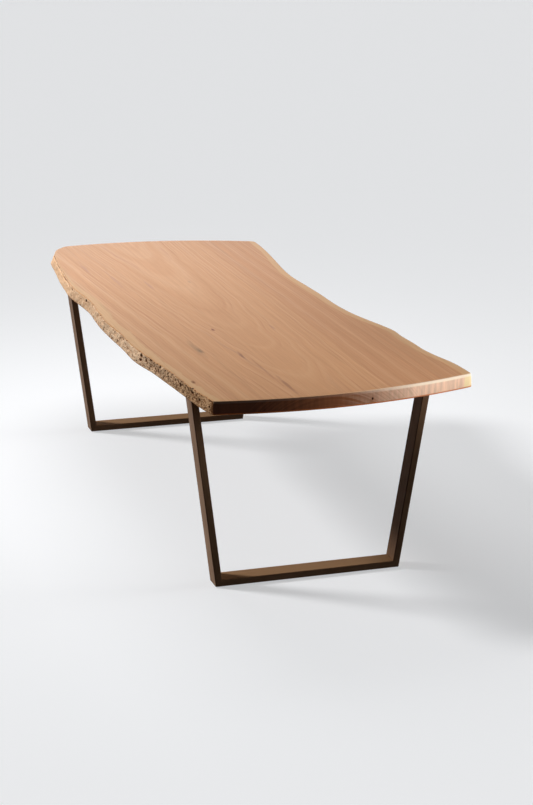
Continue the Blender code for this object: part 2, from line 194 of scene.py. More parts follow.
def worn_depth(x, z):
    """How deep the left live edge is eaten away at one point, and how far that point lies in a hollow."""
    age = swell(x, WORN_FROM, WORN_TO)
    fine = age * (1 - 0.7 * swell(x, 0.98, 1.08))
    lumps = noise.fractal(Vector((x * 22, z * 30, 3.1)), 1.0, 2.0, 2)
    knobs = noise.noise(Vector((x * 75, z * 95, 8.4)))
    grit = noise.noise(Vector((x * 210, z * 240, 1.7)))
    pit, ridge = eaten(x, z, PIT_SPACING, 0.15 + 0.75 * fine)
    gallery, _ = eaten(x, z, GALLERY_SPACING, 0.08 + 0.30 * fine)
    ridge *= (1 - max(pit, gallery)) * age
    hole = 0.0
    for hole_x, hole_z, radius, deep in WORM_HOLES:
        away = math.hypot((x - hole_x) * 0.8, z - hole_z) / radius + 0.35 * knobs
        hole = max(hole, deep * swell(-away, -1.0, -0.35))
    scoop = swell(-abs(x - SCOOP_PLACE), -0.062, -0.02) * swell(z, 0.709, 0.720)
    scoop *= swell(-z, -0.748, -0.738)
    crease_height = CREASE_HEIGHT + 0.0015 * math.sin(31 * x)
    crease = swell(-abs(x - CREASE_PLACE), -0.35, -0.26) * swell(-abs(z - crease_height), -0.0045, -0.001)
    crease *= 0.7 + 0.9 * noise.noise(Vector((x * 19, 2.6, 7.7)))
    chip = swell(noise.noise(Vector((x * 48, 5.2, 0.4))), 0.12, 0.5) * swell(z, 0.738, 0.747)
    rough = 0.35 + 0.65 * age
    depth = (LUMP * lumps + rough * (KNOB * knobs + GRIT * grit) - SKIN + PIT * pit + GALLERY * gallery
             - RIDGE * ridge + hole + SCOOP * scoop + CREASE * crease + CHIP * chip * age)
    # How hollow a point is; the edge's finish uses it to paint shade into hollows and highlight onto ridges.
    hollow = (0.75 * pit + 1.3 * gallery + 130 * hole + 0.30 * scoop + 0.55 * crease
              + rough * (0.40 * knobs + 0.40 * grit) - 0.50 * ridge)
    return depth, hollow


def ways_inward(outline):
    """The level direction into the slab at each point of an outline."""
    along = np.roll(outline, -1, axis=0) - np.roll(outline, 1, axis=0)
    along /= np.linalg.norm(along, axis=1)[:, None]
    return np.stack((-along[:, 1], along[:, 0]), axis=1)


def wear_left_edge(outlines, sides, first):
    """Pits the left live edge inwards, and gives how hollow each point is."""
    hollows = np.zeros(outlines.shape[:2])
    inwards = ways_inward(outlines[len(outlines) // 2, :, :2])
    rough = [index for index, side in enumerate(sides) if side == "left edge"]
    for order, column in enumerate(rough):
        fade = swell(min(order, len(rough) - 1 - order), 0, ENDS_FADE)
        for level, outline in enumerate(outlines):
            x, _, z = outline[column]
            depth, hollow = worn_depth(x, z)
            share = fade * (0.6 + 0.4 * swell(level, 0, first)) if level < first else fade
            share *= swell(z, UNDERSIDE_FROM, UNDERSIDE_TO)
            outline[column, :2] += inwards[column] * depth * share
            hollows[level, column] = hollow * share
    return hollows


# The flat faces: the spacing of their points, how far those keep off the outline, and a row of points
# just inside it that holds the arris round.
FACE_STEP, FACE_MARGIN = 0.014, 0.6
ARRIS_SUPPORT, SUPPORT_EVERY = 0.0015, 3
BORE_REACH = 0.005
JOIN_DISTANCE = 0.000001


def face_across(bm, ring, height, upwards, cut_outs):
    """Fills one outline with a flat face of small triangles, left open at the insert holes."""
    count = len(ring)
    outline = np.array([vert.co[:2] for vert in ring])
    support = outline + ways_inward(outline) * ARRIS_SUPPORT
    flat = [Vector(point) for point in outline]
    edges = [(i, (i + 1) % count) for i in range(count)]
    keep_off = kdtree.KDTree(count)
    for i, point in enumerate(outline):
        keep_off.insert((*point, 0), i)
    keep_off.balance()
    flat += [Vector(support[i]) for i in range(0, count, SUPPORT_EVERY)]
    low, high = outline.min(axis=0), outline.max(axis=0)
    for x in np.arange(low[0], high[0], FACE_STEP):
        for y in np.arange(low[1], high[1], FACE_STEP):
            if keep_off.find((x, y, 0))[2] > FACE_MARGIN * FACE_STEP:
                flat.append(Vector((x, y)))
    for loop in cut_outs:
        start = len(flat)
        flat += [Vector(point[:2]) for point in loop]
        edges += [(start + i, start + (i + 1) % len(loop)) for i in range(len(loop))]
    points, _, triangles, origins, _, _ = geometry.delaunay_2d_cdt(
        flat, edges, [list(range(count))], 1, JOIN_DISTANCE)
    placed = []
    for point, origin in zip(points, origins):
        known = [i for i in origin if i < count]
        placed.append(ring[known[0]] if known else bm.verts.new((*point, height)))
    centres = [loop[:, :2].mean(axis=0) for loop in cut_outs]
    for triangle in triangles:
        middle = np.mean([points[i] for i in triangle], axis=0)
        if any(np.hypot(*(middle - centre)) < BORE_REACH for centre in centres):
            continue
        bm.faces.new([placed[i] for i in (triangle if upwards else triangle[::-1])])
    return placed


SHARP_CORNER = math.radians(50)


def link_piece(name, bm):
    """Puts a finished mesh into the scene, smooth but for its sharp corners."""
    mesh = bpy.data.meshes.new(name)
    bm.to_mesh(mesh)
    bm.free()
    mesh.shade_smooth()
    mesh.set_sharp_from_angle(angle=SHARP_CORNER)
    piece = bpy.data.objects.new(name, mesh)
    scene.collection.objects.link(piece)
    return piece


# Which of the slab's four finishes each side takes; its faces and upper arrises take the first, 0.
SIDE_FINISHES = {"near end": 1, "far end": 1, "left edge": 2, "right edge": 3}


def make_slab(node):
    outlines, rims = slab_outlines(node)
    outlines, sides = finer_columns(outlines)
    outlines, first = finer_levels(outlines)
    hollows = wear_left_edge(outlines, sides, first)
    top, bottom = outlines[0, 0, 2], outlines[-1, 0, 2]
    count = len(sides)
    bm = bmesh.new()
    hollow_layer = bm.verts.layers.float.new("hollow")
    rings = []
    for outline, hollow in zip(outlines, hollows):
        ring = [bm.verts.new(point) for point in outline]
        for vert, amount in zip(ring, hollow):
            vert[hollow_layer] = amount
        rings.append(ring)
    for level, (upper, lower) in enumerate(zip(rings, rings[1:])):
        for i in range(count):
            j = (i + 1) % count
            face = bm.faces.new((upper[i], lower[i], lower[j], upper[j]))
            face.material_index = SIDE_FINISHES[sides[i]] if level >= first - 1 else 0

    holes = [loop for loop in rims if abs(loop[0, 2] - bottom) < SAME_LEVEL]
    bore_ends = [loop for loop in rims if abs(loop[0, 2] - bottom) > SAME_LEVEL]
    face_across(bm, rings[0], top, True, [])
    made = face_across(bm, rings[-1], bottom, False, holes)
    by_place = {tuple(np.round(vert.co, 5)): vert for vert in made}
    for loop in bore_ends:
        mouth = [tuple(round(float(value), 5) for value in (x, y, bottom)) for x, y, _ in loop]
        rim = [by_place.get(place) for place in mouth]
        end = [bm.verts.new(point) for point in loop]
        if all(rim):
            for i in range(len(loop)):
                j = (i + 1) % len(loop)
                bm.faces.new((rim[i], rim[j], end[j], end[i]))
            bm.faces.new(end)
    loose = [vert for vert in bm.verts if not vert.link_faces]
    bmesh.ops.delete(bm, geom=loose, context="VERTS")
    bmesh.ops.recalc_face_normals(bm, faces=bm.faces)

    for ending, name in (("left edge", "from_left"), ("right edge", "from_right"), (" end", "from_end")):
        layer = bm.verts.layers.float.new(name)
        rim = kdtree.KDTree(count)
        for i, point in enumerate(outlines[first]):
            if sides[i].endswith(ending):
                rim.insert((*point[:2], 0), i)
        rim.balance()
        for vert in bm.verts:
            vert[layer] = rim.find((*vert.co[:2], 0))[2]
    return link_piece("live_edge_slab", bm)


slab = make_slab(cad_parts["slab_top"])
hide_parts("slab_top")
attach(slab, "root")


def tone(red, green, blue):
    """A colour read off a colour chart (0 to 255), as the light it reflects."""
    def linear(value):
        value /= 255
        return value / 12.92 if value <= 0.04045 else ((value + 0.055) / 1.055) ** 2.4
    return (linear(red), linear(green), linear(blue), 1.0)


def new_finish(name):
    material = bpy.data.materials.new(name)
    material.use_nodes = True
    return material, material.node_tree, material.node_tree.nodes["Principled BSDF"]


def add(tree, kind, values=(), **settings):
    """A shader node with its settings made and its sockets set or wired."""
    node = tree.nodes.new("ShaderNode" + kind)
    for name, value in settings.items():
        setattr(node, name, value)
    for socket, value in dict(values).items():
        if isinstance(value, bpy.types.NodeSocket):
            tree.links.new(value, node.inputs[socket])
        else:
            node.inputs[socket].default_value = value
    return node


def calc(tree, operation, *values):
    return add(tree, "Math", enumerate(values), operation=operation).outputs[0]


def far_off(tree, first, second):
    """How far off a centre a point lies, from its distances along two directions."""
    squares = calc(tree, "ADD", calc(tree, "POWER", first, 2.0), calc(tree, "POWER", second, 2.0))
    return calc(tree, "SQRT", squares)


def sway(tree, value, unevenness, strength):
    """A value pushed up and down by a noise that lies about 0.5."""
    return calc(tree, "MULTIPLY_ADD", calc(tree, "SUBTRACT", unevenness, 0.5), strength, value)


def fade_between(tree, amount, low, high, start=0.0, end=1.0):
    """start where amount is low, end where it is high, and a smooth change between."""
    return add(tree, "MapRange", {"Value": amount, "From Min": low, "From Max": high, "To Min": start,
               "To Max": end}, interpolation_type="SMOOTHSTEP").outputs["Result"]


def mix_colours(tree, amount, first, second, way="MIX"):
    return add(tree, "Mix", {0: amount, 6: first, 7: second}, data_type="RGBA", blend_type=way).outputs[2]


def shaded(tree, colour, shade):
    """A colour made darker by a shade under 1, or lighter by one over 1."""
    grey = add(tree, "CombineXYZ", {0: shade, 1: shade, 2: shade}).outputs[0]
    return mix_colours(tree, 1.0, colour, grey, "MULTIPLY")


def colour_steps(tree, amount, *steps):
    ramp = add(tree, "ValToRGB", {"Fac": amount})
    marks = ramp.color_ramp.elements
    while len(marks) < len(steps):
        marks.new(0.5)
    for mark, (place, colour) in zip(marks, steps):
        mark.position = place
        mark.color = colour
    return ramp.outputs["Color"]


def own_place(tree):
    """Where a point lies along the table, across it and above the floor."""
    return add(tree, "SeparateXYZ", {0: add(tree, "TexCoord").outputs["Object"]}).outputs


def stretched(tree, x, y, z, source=None, shift=(0, 0, 0)):
    """A piece's own coordinates, or another vector, stretched and shifted."""
    source = source or add(tree, "TexCoord").outputs["Object"]
    return add(tree, "Mapping", {"Vector": source, "Location": shift, "Scale": (x, y, z)}).outputs["Vector"]


def speckle(tree, vector, detail=3.0, roughness=0.55):
    return add(tree, "TexNoise", {"Vector": vector, "Scale": 1.0, "Detail": detail,
               "Roughness": roughness}).outputs[0]


def named(tree, name):
    return add(tree, "Attribute", attribute_name=name).outputs["Fac"]


def raise_grain(tree, shader, grain, strength, height):
    """Lets a pattern stand up a little from the surface."""
    bump = add(tree, "Bump", {"Strength": strength, "Distance": height, "Height": grain})
    tree.links.new(bump.outputs[0], shader.inputs["Normal"])


# The log's heart: how far across the table it lies, how far below the top, and how both change along it.
TOP_HEIGHT = 0.75
HEART_ACROSS, HEART_SLANT = -0.075, 0.03
HEART_DEPTH, HEART_DIP = 0.235, 0.045
STEM_WANDER, STEM_RIPPLE, STEM_SAG = 0.035, 0.006, 0.010


def growth_rings(tree):
    """How far out from the log's heart a point lies, in metres, with the wander of a grown stem, and how
    clearly the rings show there: they are faint over the heart, where the board cuts them flat."""
    x, y, z = own_place(tree)
    wander = speckle(tree, stretched(tree, 0.45, 1.1, 1.1), 1.0)
    ripple = speckle(tree, stretched(tree, 1.3, 6.0, 6.0), 1.0)
    across = calc(tree, "SUBTRACT", y, calc(tree, "MULTIPLY_ADD", x, HEART_SLANT, HEART_ACROSS))
    across = sway(tree, across, wander, STEM_WANDER)
    across = sway(tree, across, ripple, STEM_RIPPLE)
    sag = add(tree, "TexNoise", {"W": calc(tree, "MULTIPLY", x, 0.9), "Detail": 0.0}, noise_dimensions="1D")
    height = calc(tree, "MULTIPLY_ADD", x, HEART_DIP, HEART_DEPTH - TOP_HEIGHT)
    height = calc(tree, "MULTIPLY_ADD", sag.outputs[0], STEM_SAG, height)
    height = calc(tree, "ADD", height, z)
    clear = fade_between(tree, calc(tree, "ABSOLUTE", across), 0.02, 0.16, 0.20, 1.0)
    return far_off(tree, across, height), clear


# Bands that follow the rings, as (bands in a metre, detail, where they start).
BROAD_BANDS, TIGHT_BANDS, VEIN_BANDS = (34.0, 3.0, 0.0), (130.0, 2.0, 4.0), (46.0, 4.0, 11.0)
END_BANDS = (120.0, 4.0, 0.0)


def ring_bands(tree, rings, per_metre, detail, offset):
    """Bands of uneven width that follow the growth rings, from 0 to 1."""
    turn = calc(tree, "MULTIPLY_ADD", rings, per_metre, offset)
    return add(tree, "TexNoise", {"W": turn, "Scale": 1.0, "Detail": detail, "Roughness": 0.6},
               noise_dimensions="1D").outputs[0]


def sapwood_share(tree, left_width=1.0):
    """1 in the pale sapwood inside the live edges, 0 in the heartwood; the left band narrows to its ends."""
    drift = speckle(tree, stretched(tree, 3.2, 3.2, 3.2), 3.0)
    x = own_place(tree)[0]
    swelling = fade_between(tree, x, -0.80, -0.05, 0.007, 0.040)
    narrowing = fade_between(tree, x, 0.20, 1.15, 1.0, 0.62)
    waver = calc(tree, "MULTIPLY_ADD", drift, 1.2 * left_width, 0.4 * left_width)
    left_band = calc(tree, "MULTIPLY", calc(tree, "MULTIPLY", swelling, narrowing), waver)
    opening = fade_between(tree, x, -0.9, -0.1, 0.80, 1.0)
    right_band = calc(tree, "MULTIPLY", opening, calc(tree, "MULTIPLY_ADD", drift, 0.022, 0.022))
    left = calc(tree, "DIVIDE", named(tree, "from_left"), left_band)
    right = calc(tree, "DIVIDE", named(tree, "from_right"), right_band)
    return fade_between(tree, calc(tree, "MINIMUM", left, right), 0.86, 1.10, 1.0, 0.0)


def arris_highlight_share(tree, across):
    """How much painted highlight the upper end arris takes, most towards the right corners."""
    return fade_between(tree, across, 0.0, 0.34, 0.10, 0.90)


HEARTWOOD_DARK = tone(196, 143, 101)
HEARTWOOD = tone(202, 150, 107)
HEARTWOOD_PALE = tone(209, 160, 118)
HEARTWOOD_RUDDY = tone(186, 131, 94)
SAPWOOD = tone(208, 164, 119)
SAPWOOD_ARRIS = tone(196, 144, 98)
# Colour of the painted highlight along the upper end arris.
PAINTED_ARRIS_HIGHLIGHT = tone(254, 234, 210)
PURPLE_STREAK = tone(164, 118, 94)
TOP_FACE_FROM, TOP_FACE_TO = 0.735, 0.745
# Fine lines along the tight bands: (where they begin to show, where they show fully, strength, colour).
RING_LINES = [(0.56, 0.66, 0.80, HEARTWOOD_PALE), (0.42, 0.34, 0.65, HEARTWOOD_RUDDY)]
# Thin strands along the board: (shift of their noise, brightness).
STRANDS = [(2.3, 0.89), (7.1, 1.07)]
# Mineral streaks and pin knots on the top face: (along, across, length, width, strength, colour).
FLAWS = [
    (0.530, -0.304, 0.150, 0.015, 0.50, tone(150, 118, 88)),
    (0.570, -0.297, 0.045, 0.011, 0.60, tone(112, 94, 70)),
    (0.310, -0.170, 0.022, 0.007, 0.95, tone(126, 72, 62)),
    (0.660, -0.174, 0.060, 0.008, 0.70, tone(128, 84, 68)),
    (0.870, -0.155, 0.260, 0.006, 0.40, tone(150, 102, 80)),
    (1.040, -0.138, 0.150, 0.008, 0.50, tone(134, 90, 72)),
    (-0.414, -0.044, 0.020, 0.007, 0.45, tone(140, 128, 108)),
    (0.330, 0.054, 0.050, 0.006, 0.35, tone(148, 108, 100)),
    (-0.760, -0.395, 0.130, 0.010, 0.35, tone(160, 118, 110)),
    (-0.500, -0.325, 0.200, 0.010, 0.30, tone(166, 124, 112)),
    (-0.400, -0.215, 0.100, 0.008, 0.35, tone(160, 120, 110)),
    (0.930, -0.430, 0.022, 0.008, 0.90, tone(116, 64, 34)),
]


def oiled_face():
    material, tree, shader = new_finish("oiled_long_grain")
    x, y, z = own_place(tree)
    rings, clear = growth_rings(tree)
    broad = ring_bands(tree, rings, *BROAD_BANDS)
    tight = ring_bands(tree, rings, *TIGHT_BANDS)
    wood = colour_steps(tree, broad, (0.25, HEARTWOOD_DARK), (0.50, HEARTWOOD), (0.75, HEARTWOOD_PALE))
    broken = fade_between(tree, speckle(tree, stretched(tree, 1.9, 11.0, 11.0), 3.0), 0.40, 0.60, 0.10, 1.0)
    clear = calc(tree, "MULTIPLY", clear, broken)
    for start, end, strength, colour in RING_LINES:
        lines = calc(tree, "MULTIPLY", fade_between(tree, tight, start, end, 0.0, strength), clear)
        wood = mix_colours(tree, lines, wood, colour)
    veins = ring_bands(tree, rings, *VEIN_BANDS)
    patch = fade_between(tree, speckle(tree, stretched(tree, 1.6, 7.0, 7.0), 2.0), 0.48, 0.66)
    veins = calc(tree, "MULTIPLY", fade_between(tree, veins, 0.60, 0.74, 0.0, 0.34), patch)
    wood = mix_colours(tree, veins, wood, PURPLE_STREAK)
    ruddy = calc(tree, "ADD", rings, calc(tree, "MULTIPLY", broad, 0.03))
    right_half = fade_between(tree, y, 0.0, 0.1)
    ruddy = calc(tree, "MULTIPLY", fade_between(tree, ruddy, 0.375, 0.395, 0.0, 0.36), right_half)
    wood = mix_colours(tree, ruddy, wood, HEARTWOOD_RUDDY)
    fibres = speckle(tree, stretched(tree, 6.0, 240.0, 240.0), 4.0, 0.6)
    streaks = calc(tree, "SUBTRACT", speckle(tree, stretched(tree, 0.8, 80.0, 80.0), 4.0, 0.65), 0.5)
    lively = fade_between(tree, speckle(tree, stretched(tree, 0.9, 5.0, 5.0), 2.0), 0.40, 0.62, 0.08, 0.45)
    shade = calc(tree, "MULTIPLY", fade_between(tree, fibres, 0.30, 0.70, 0.95, 1.04),
                 calc(tree, "MULTIPLY_ADD", streaks, lively, 1.0))
    for shift, brightness in STRANDS:
        thin = speckle(tree, stretched(tree, 1.1, 60.0, 60.0, shift=(shift, 0, 0)), 3.0, 0.7)
        patch = speckle(tree, stretched(tree, 1.2, 6.0, 6.0, shift=(shift, 0, 0)), 2.0)
        patch = fade_between(tree, patch, 0.44, 0.60)
        lines = calc(tree, "MULTIPLY", fade_between(tree, thin, 0.56, 0.68), patch)
        shade = calc(tree, "MULTIPLY", shade, calc(tree, "MULTIPLY_ADD", lines, brightness - 1.0, 1.0))
    from_edge = calc(tree, "MINIMUM", named(tree, "from_left"), named(tree, "from_right"))
    pale = mix_colours(tree, fade_between(tree, from_edge, 0.001, 0.007, 1.0, 0.0), SAPWOOD, SAPWOOD_ARRIS)
    wood = mix_colours(tree, sapwood_share(tree), wood, pale)
    wobble = speckle(tree, stretched(tree, 14.0, 60.0, 60.0), 3.0)
    on_top = fade_between(tree, z, TOP_FACE_FROM, TOP_FACE_TO)
    for along, across, length, width, strength, colour in FLAWS:
        reach = calc(tree, "MULTIPLY", calc(tree, "SUBTRACT", x, along), 1 / length)
        side = calc(tree, "MULTIPLY", calc(tree, "SUBTRACT", y, across), 1 / width)
        far = sway(tree, far_off(tree, reach, side), wobble, 1.4)
        amount = calc(tree, "MULTIPLY", fade_between(tree, far, 0.1, 1.1, strength, 0.0), on_top)
        wood = mix_colours(tree, amount, wood, colour)
    wood = shaded(tree, wood, shade)
    # Painted highlight: a pale line along the top's edge at both ends, strongest towards the right.
    painted_arris_highlight = fade_between(tree, named(tree, "from_end"), 0.004, 0.009, 1.0, 0.0)
    painted_arris_highlight = calc(tree, "MULTIPLY", calc(tree, "MULTIPLY", painted_arris_highlight, on_top), arris_highlight_share(tree, y))
    wood = mix_colours(tree, painted_arris_highlight, wood, PAINTED_ARRIS_HIGHLIGHT)
    tree.links.new(wood, shader.inputs["Base Color"])
    tree.links.new(fade_between(tree, broad, 0.3, 0.7, 0.22, 0.18), shader.inputs["Roughness"])
    shader.inputs["Specular IOR Level"].default_value = 0.58
    raise_grain(tree, shader, fibres, 0.06, 0.0004)
    return material


# End-grain colours from left to right: the dark one is heart stain and painted shade, the pale one is partly
# painted light.
END_STAIN_AND_SHADE = tone(82, 42, 22)
END_MID = tone(158, 98, 64)
END_PALE_AND_LIT = tone(240, 200, 172)
END_ARRIS = tone(214, 118, 58)
# Sapwood on the end cut, made paler with painted light from the right.
END_SAPWOOD_LIT = tone(248, 222, 174)
KNOT_HEART = tone(52, 24, 12)
KNOT_ACROSS, KNOT_HEIGHT = 0.117, 0.721
STAIN_SHADE_FROM, STAIN_SHADE_TO = -0.30, 0.30
UPPER_ARRIS_FROM, UPPER_ARRIS_TO = 0.7390, 0.7450
LOWER_ARRIS_FROM, LOWER_ARRIS_TO = 0.7085, 0.7060


def end_grain():
    """End cuts, dark over the left part fading to pale on the right: partly the log's heart stain, and
    partly painted shade on the left and painted light on the right.
    """
    material, tree, shader = new_finish("oiled_end_grain")
    rings, _ = growth_rings(tree)
    bands = ring_bands(tree, rings, *END_BANDS)
    x, y, z = own_place(tree)
    # Painted shade towards the left and painted light towards the right, mixed with the real heart stain.
    stain_and_shade = sway(tree, y, bands, 0.22)
    clean = add(tree, "MapRange", {"Value": stain_and_shade, "From Min": STAIN_SHADE_FROM, "From Max": STAIN_SHADE_TO})
    wood = colour_steps(tree, clean.outputs["Result"], (0.0, END_STAIN_AND_SHADE), (0.5, END_MID), (1.0, END_PALE_AND_LIT))
    rays = speckle(tree, stretched(tree, 40.0, 70.0, 11.0), 4.0, 0.6)
    wood = shaded(tree, wood, fade_between(tree, rays, 0.28, 0.72, 0.84, 1.12))
    beside = calc(tree, "MULTIPLY", calc(tree, "SUBTRACT", y, KNOT_ACROSS), 1.2)
    above = calc(tree, "SUBTRACT", z, KNOT_HEIGHT)
    knot = sway(tree, far_off(tree, beside, above), rays, 0.006)
    near_end = calc(tree, "GREATER_THAN", x, 0.0)
    feather = calc(tree, "MULTIPLY_ADD", above, 0.6, calc(tree, "ABSOLUTE", beside))
    feather = calc(tree, "MULTIPLY", fade_between(tree, feather, 0.002, 0.014, 0.45, 0.0), near_end)
    wood = mix_colours(tree, feather, wood, END_MID)
    heart = calc(tree, "MULTIPLY", fade_between(tree, knot, 0.0060, 0.0030), near_end)
    wood = mix_colours(tree, heart, wood, KNOT_HEART)
    # Sapwood at the end's corners, its pale colour partly painted light.
    wood = mix_colours(tree, sapwood_share(tree, 0.08), wood, END_SAPWOOD_LIT)
    # Painted highlight along the end cut's upper arris, strongest towards the right.
    upper_arris = fade_between(tree, z, UPPER_ARRIS_FROM, UPPER_ARRIS_TO)
    wood = mix_colours(tree, calc(tree, "MULTIPLY", upper_arris, arris_highlight_share(tree, y)), wood, PAINTED_ARRIS_HIGHLIGHT)
    lower_arris = fade_between(tree, z, LOWER_ARRIS_FROM, LOWER_ARRIS_TO, 0.0, 0.85)
    wood = mix_colours(tree, lower_arris, wood, END_ARRIS)
    tree.links.new(wood, shader.inputs["Base Color"])
    shader.inputs["Roughness"].default_value = 0.45
    shader.inputs["Specular IOR Level"].default_value = 0.1
    raise_grain(tree, shader, rays, 0.15, 0.0005)
    return material


# Colours of the left live edge where the wood is fresh, at the far end, and where it is old, at the near end.
# The near end's darker colours are partly painted shade.
FRESH_EDGE = [(0.30, tone(220, 172, 130)), (0.52, tone(240, 197, 158)), (0.72, tone(250, 219, 186))]
# Painted highlight for the ridges and painted shade for the hollows, fresh and old.
FRESH_RIDGE_HIGHLIGHT, FRESH_HOLLOW_SHADE = tone(246, 215, 182), tone(112, 66, 40)
OLD_SHADED_EDGE = [(0.30, tone(92, 57, 33)), (0.52, tone(126, 85, 54)), (0.72, tone(160, 117, 82))]
OLD_RIDGE_HIGHLIGHT, OLD_HOLLOW_SHADE = tone(202, 163, 124), tone(60, 35, 21)
EDGE_LOWER_ARRIS = tone(188, 136, 96)
OLD_SHADED_FROM, OLD_SHADED_TO = 0.35, 1.05
EDGE_ARRIS_FROM, EDGE_ARRIS_TO = 0.7080, 0.7040


def worm_eaten_edge():
    material, tree, shader = new_finish("worm_eaten_live_edge")
    x, _, z = own_place(tree)
    # Darker towards the near end: older wood, and partly painted shade.
    age = fade_between(tree, x, OLD_SHADED_FROM, OLD_SHADED_TO)
    grain = speckle(tree, stretched(tree, 45.0, 120.0, 150.0), 4.0, 0.65)
    fresh = colour_steps(tree, grain, *FRESH_EDGE)
    old_and_shaded = colour_steps(tree, grain, *OLD_SHADED_EDGE)
    wood = mix_colours(tree, age, fresh, old_and_shaded)
    hollow = named(tree, "hollow")
    # Painted highlight on the ridges between pits.
    ridge = mix_colours(tree, age, FRESH_RIDGE_HIGHLIGHT, OLD_RIDGE_HIGHLIGHT)
    wood = mix_colours(tree, fade_between(tree, hollow, 0.0, -0.4, 0.0, 0.9), wood, ridge)
    # Painted shade in the pits and worm holes.
    deep = mix_colours(tree, age, FRESH_HOLLOW_SHADE, OLD_HOLLOW_SHADE)
    wood = mix_colours(tree, fade_between(tree, hollow, 0.14, 0.55), wood, deep)
    lower_arris = fade_between(tree, z, EDGE_ARRIS_FROM, EDGE_ARRIS_TO, 0.0, 0.75)
    wood = mix_colours(tree, lower_arris, wood, EDGE_LOWER_ARRIS)
    tree.links.new(wood, shader.inputs["Base Color"])
    shader.inputs["Roughness"].default_value = 0.75
    shader.inputs["Specular IOR Level"].default_value = 0.15
    raise_grain(tree, shader, grain, 0.5, 0.0012)
    return material


SCRAPED_EDGE = [(0.30, tone(190, 146, 96)), (0.52, tone(214, 174, 122)), (0.72, tone(230, 196, 148))]
SCRAPED_BLOTCH = tone(176, 128, 84)


def scraped_edge():
    material, tree, shader = new_finish("scraped_live_edge")
    grain = speckle(tree, stretched(tree, 10.0, 80.0, 110.0), 4.0, 0.6)
    blotch = speckle(tree, stretched(tree, 9.0, 9.0, 30.0), 3.0)
    wood = colour_steps(tree, grain, *SCRAPED_EDGE)
    wood = mix_colours(tree, fade_between(tree, blotch, 0.52, 0.70, 0.0, 0.45), wood, SCRAPED_BLOTCH)
    tree.links.new(wood, shader.inputs["Base Color"])
    shader.inputs["Roughness"].default_value = 0.55
    shader.inputs["Specular IOR Level"].default_value = 0.35
    raise_grain(tree, shader, grain, 0.3, 0.001)
    return material


for finish in (oiled_face(), end_grain(), worm_eaten_edge(), scraped_edge()):
    slab.data.materials.append(finish)


# Steel frames. Each is three lengths of 70 by 25 mm rectangular tube, mitred at the foot, welded, ground
# flush and sprayed a satin dark bronze; the mounting plate is welded across the leg tops.
PAINT_DARK = tone(129, 99, 76)
PAINT = tone(140, 108, 83)
PAINT_PALE = tone(151, 118, 92)
# Paint colour for faces that look up, paler as painted light from above.
PAINT_TOP_LIGHT = tone(170, 132, 96)
# Colour of the painted shade line along the legs' corners.
PAINT_CORNER_SHADE = tone(66, 48, 37)
TUBE_CENTRE, CORNER_SHADE_FROM, CORNER_SHADE_TO = 0.893, 0.0300, 0.0335
LEG_LEAN = math.tan(math.radians(8.0))
STREAK_SQUEEZE = 0.05


def bronze_paint(name, along_bar):
    """Satin bronze with faint streaks along the tube, which leans outwards where it is a leg. A dark line of
    painted shade runs along a leg's corners, and faces that look up are painted paler as painted light."""
    material, tree, shader = new_finish(name)
    x, y, z = own_place(tree)
    if along_bar:
        tube = {0: x, 1: calc(tree, "MULTIPLY", y, STREAK_SQUEEZE), 2: z}
    else:
        across = calc(tree, "MULTIPLY_ADD", z, -LEG_LEAN, calc(tree, "ABSOLUTE", y))
        tube = {0: x, 1: across, 2: calc(tree, "MULTIPLY", z, STREAK_SQUEEZE)}
    vector = add(tree, "CombineXYZ", tube).outputs[0]
    streaks = speckle(tree, stretched(tree, 110.0, 110.0, 110.0, vector), 4.0, 0.6)
    clouds = speckle(tree, stretched(tree, 9.0, 9.0, 9.0), 3.0)
    level = calc(tree, "MULTIPLY_ADD", clouds, 0.5, calc(tree, "MULTIPLY", streaks, 0.5))
    colour = colour_steps(tree, level, (0.36, PAINT_DARK), (0.50, PAINT), (0.64, PAINT_PALE))
    facing = add(tree, "SeparateXYZ", {0: add(tree, "NewGeometry").outputs["Normal"]}).outputs
    # Painted light: faces that look up are painted paler.
    colour = mix_colours(tree, fade_between(tree, facing[2], 0.6, 0.9, 0.0, 0.75), colour, PAINT_TOP_LIGHT)
    if not along_bar:
        # Painted shade: a dark line along the leg's front and back corners, on its side faces.
        off_centre = calc(tree, "ABSOLUTE", calc(tree, "SUBTRACT", calc(tree, "ABSOLUTE", x), TUBE_CENTRE))
        side_face = fade_between(tree, calc(tree, "ABSOLUTE", facing[0]), 0.75, 0.95, 0.8, 0.0)
        corner_shade = calc(tree, "MULTIPLY", fade_between(tree, off_centre, CORNER_SHADE_FROM, CORNER_SHADE_TO), side_face)
        colour = mix_colours(tree, corner_shade, colour, PAINT_CORNER_SHADE)
    tree.links.new(colour, shader.inputs["Base Color"])
    tree.links.new(fade_between(tree, streaks, 0.3, 0.7, 0.50, 0.40), shader.inputs["Roughness"])
    shader.inputs["Specular IOR Level"].default_value = 0.02
    raise_grain(tree, shader, speckle(tree, stretched(tree, 900.0, 900.0, 900.0), 2.0), 0.08, 0.0003)
    return material


def refinish(node, material):
    node.data.materials.clear()
    node.data.materials.append(material)


leg_paint = bronze_paint("bronze_leg_paint", False)
bar_paint = bronze_paint("bronze_bar_paint", True)
for end in ("near", "far"):
    for piece, paint in (("left_leg", leg_paint), ("right_leg", leg_paint), ("floor_bar", bar_paint),
                         ("top_plate", bar_paint)):
        refinish(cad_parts[f"{end}_{piece}"], paint)


# Weld beads. Each leg top is fillet-welded to its plate along three sides, in one run of overlapping
# ripples, and sprayed with the frame; the outer side is ground flush with the plate's end.
BEAD_LEG, BEAD_RIPPLE, BEAD_STEP = 0.0040, 0.0022, 0.00055
BEAD_ROOT, BEAD_TOE, PLATE_GAP = -0.0012, 0.0002, 0.0003
TUBE_CORNER, BEAD_START, BEAD_TAPER = 0.003, 0.004, 0.004
# The bead's rounded front, as shares of its size: out from the leg, and height against the plate.
BEAD_FRONT = [(0.30, -0.74), (0.57, -0.50), (0.82, -0.22), (1.0, 0.0)]


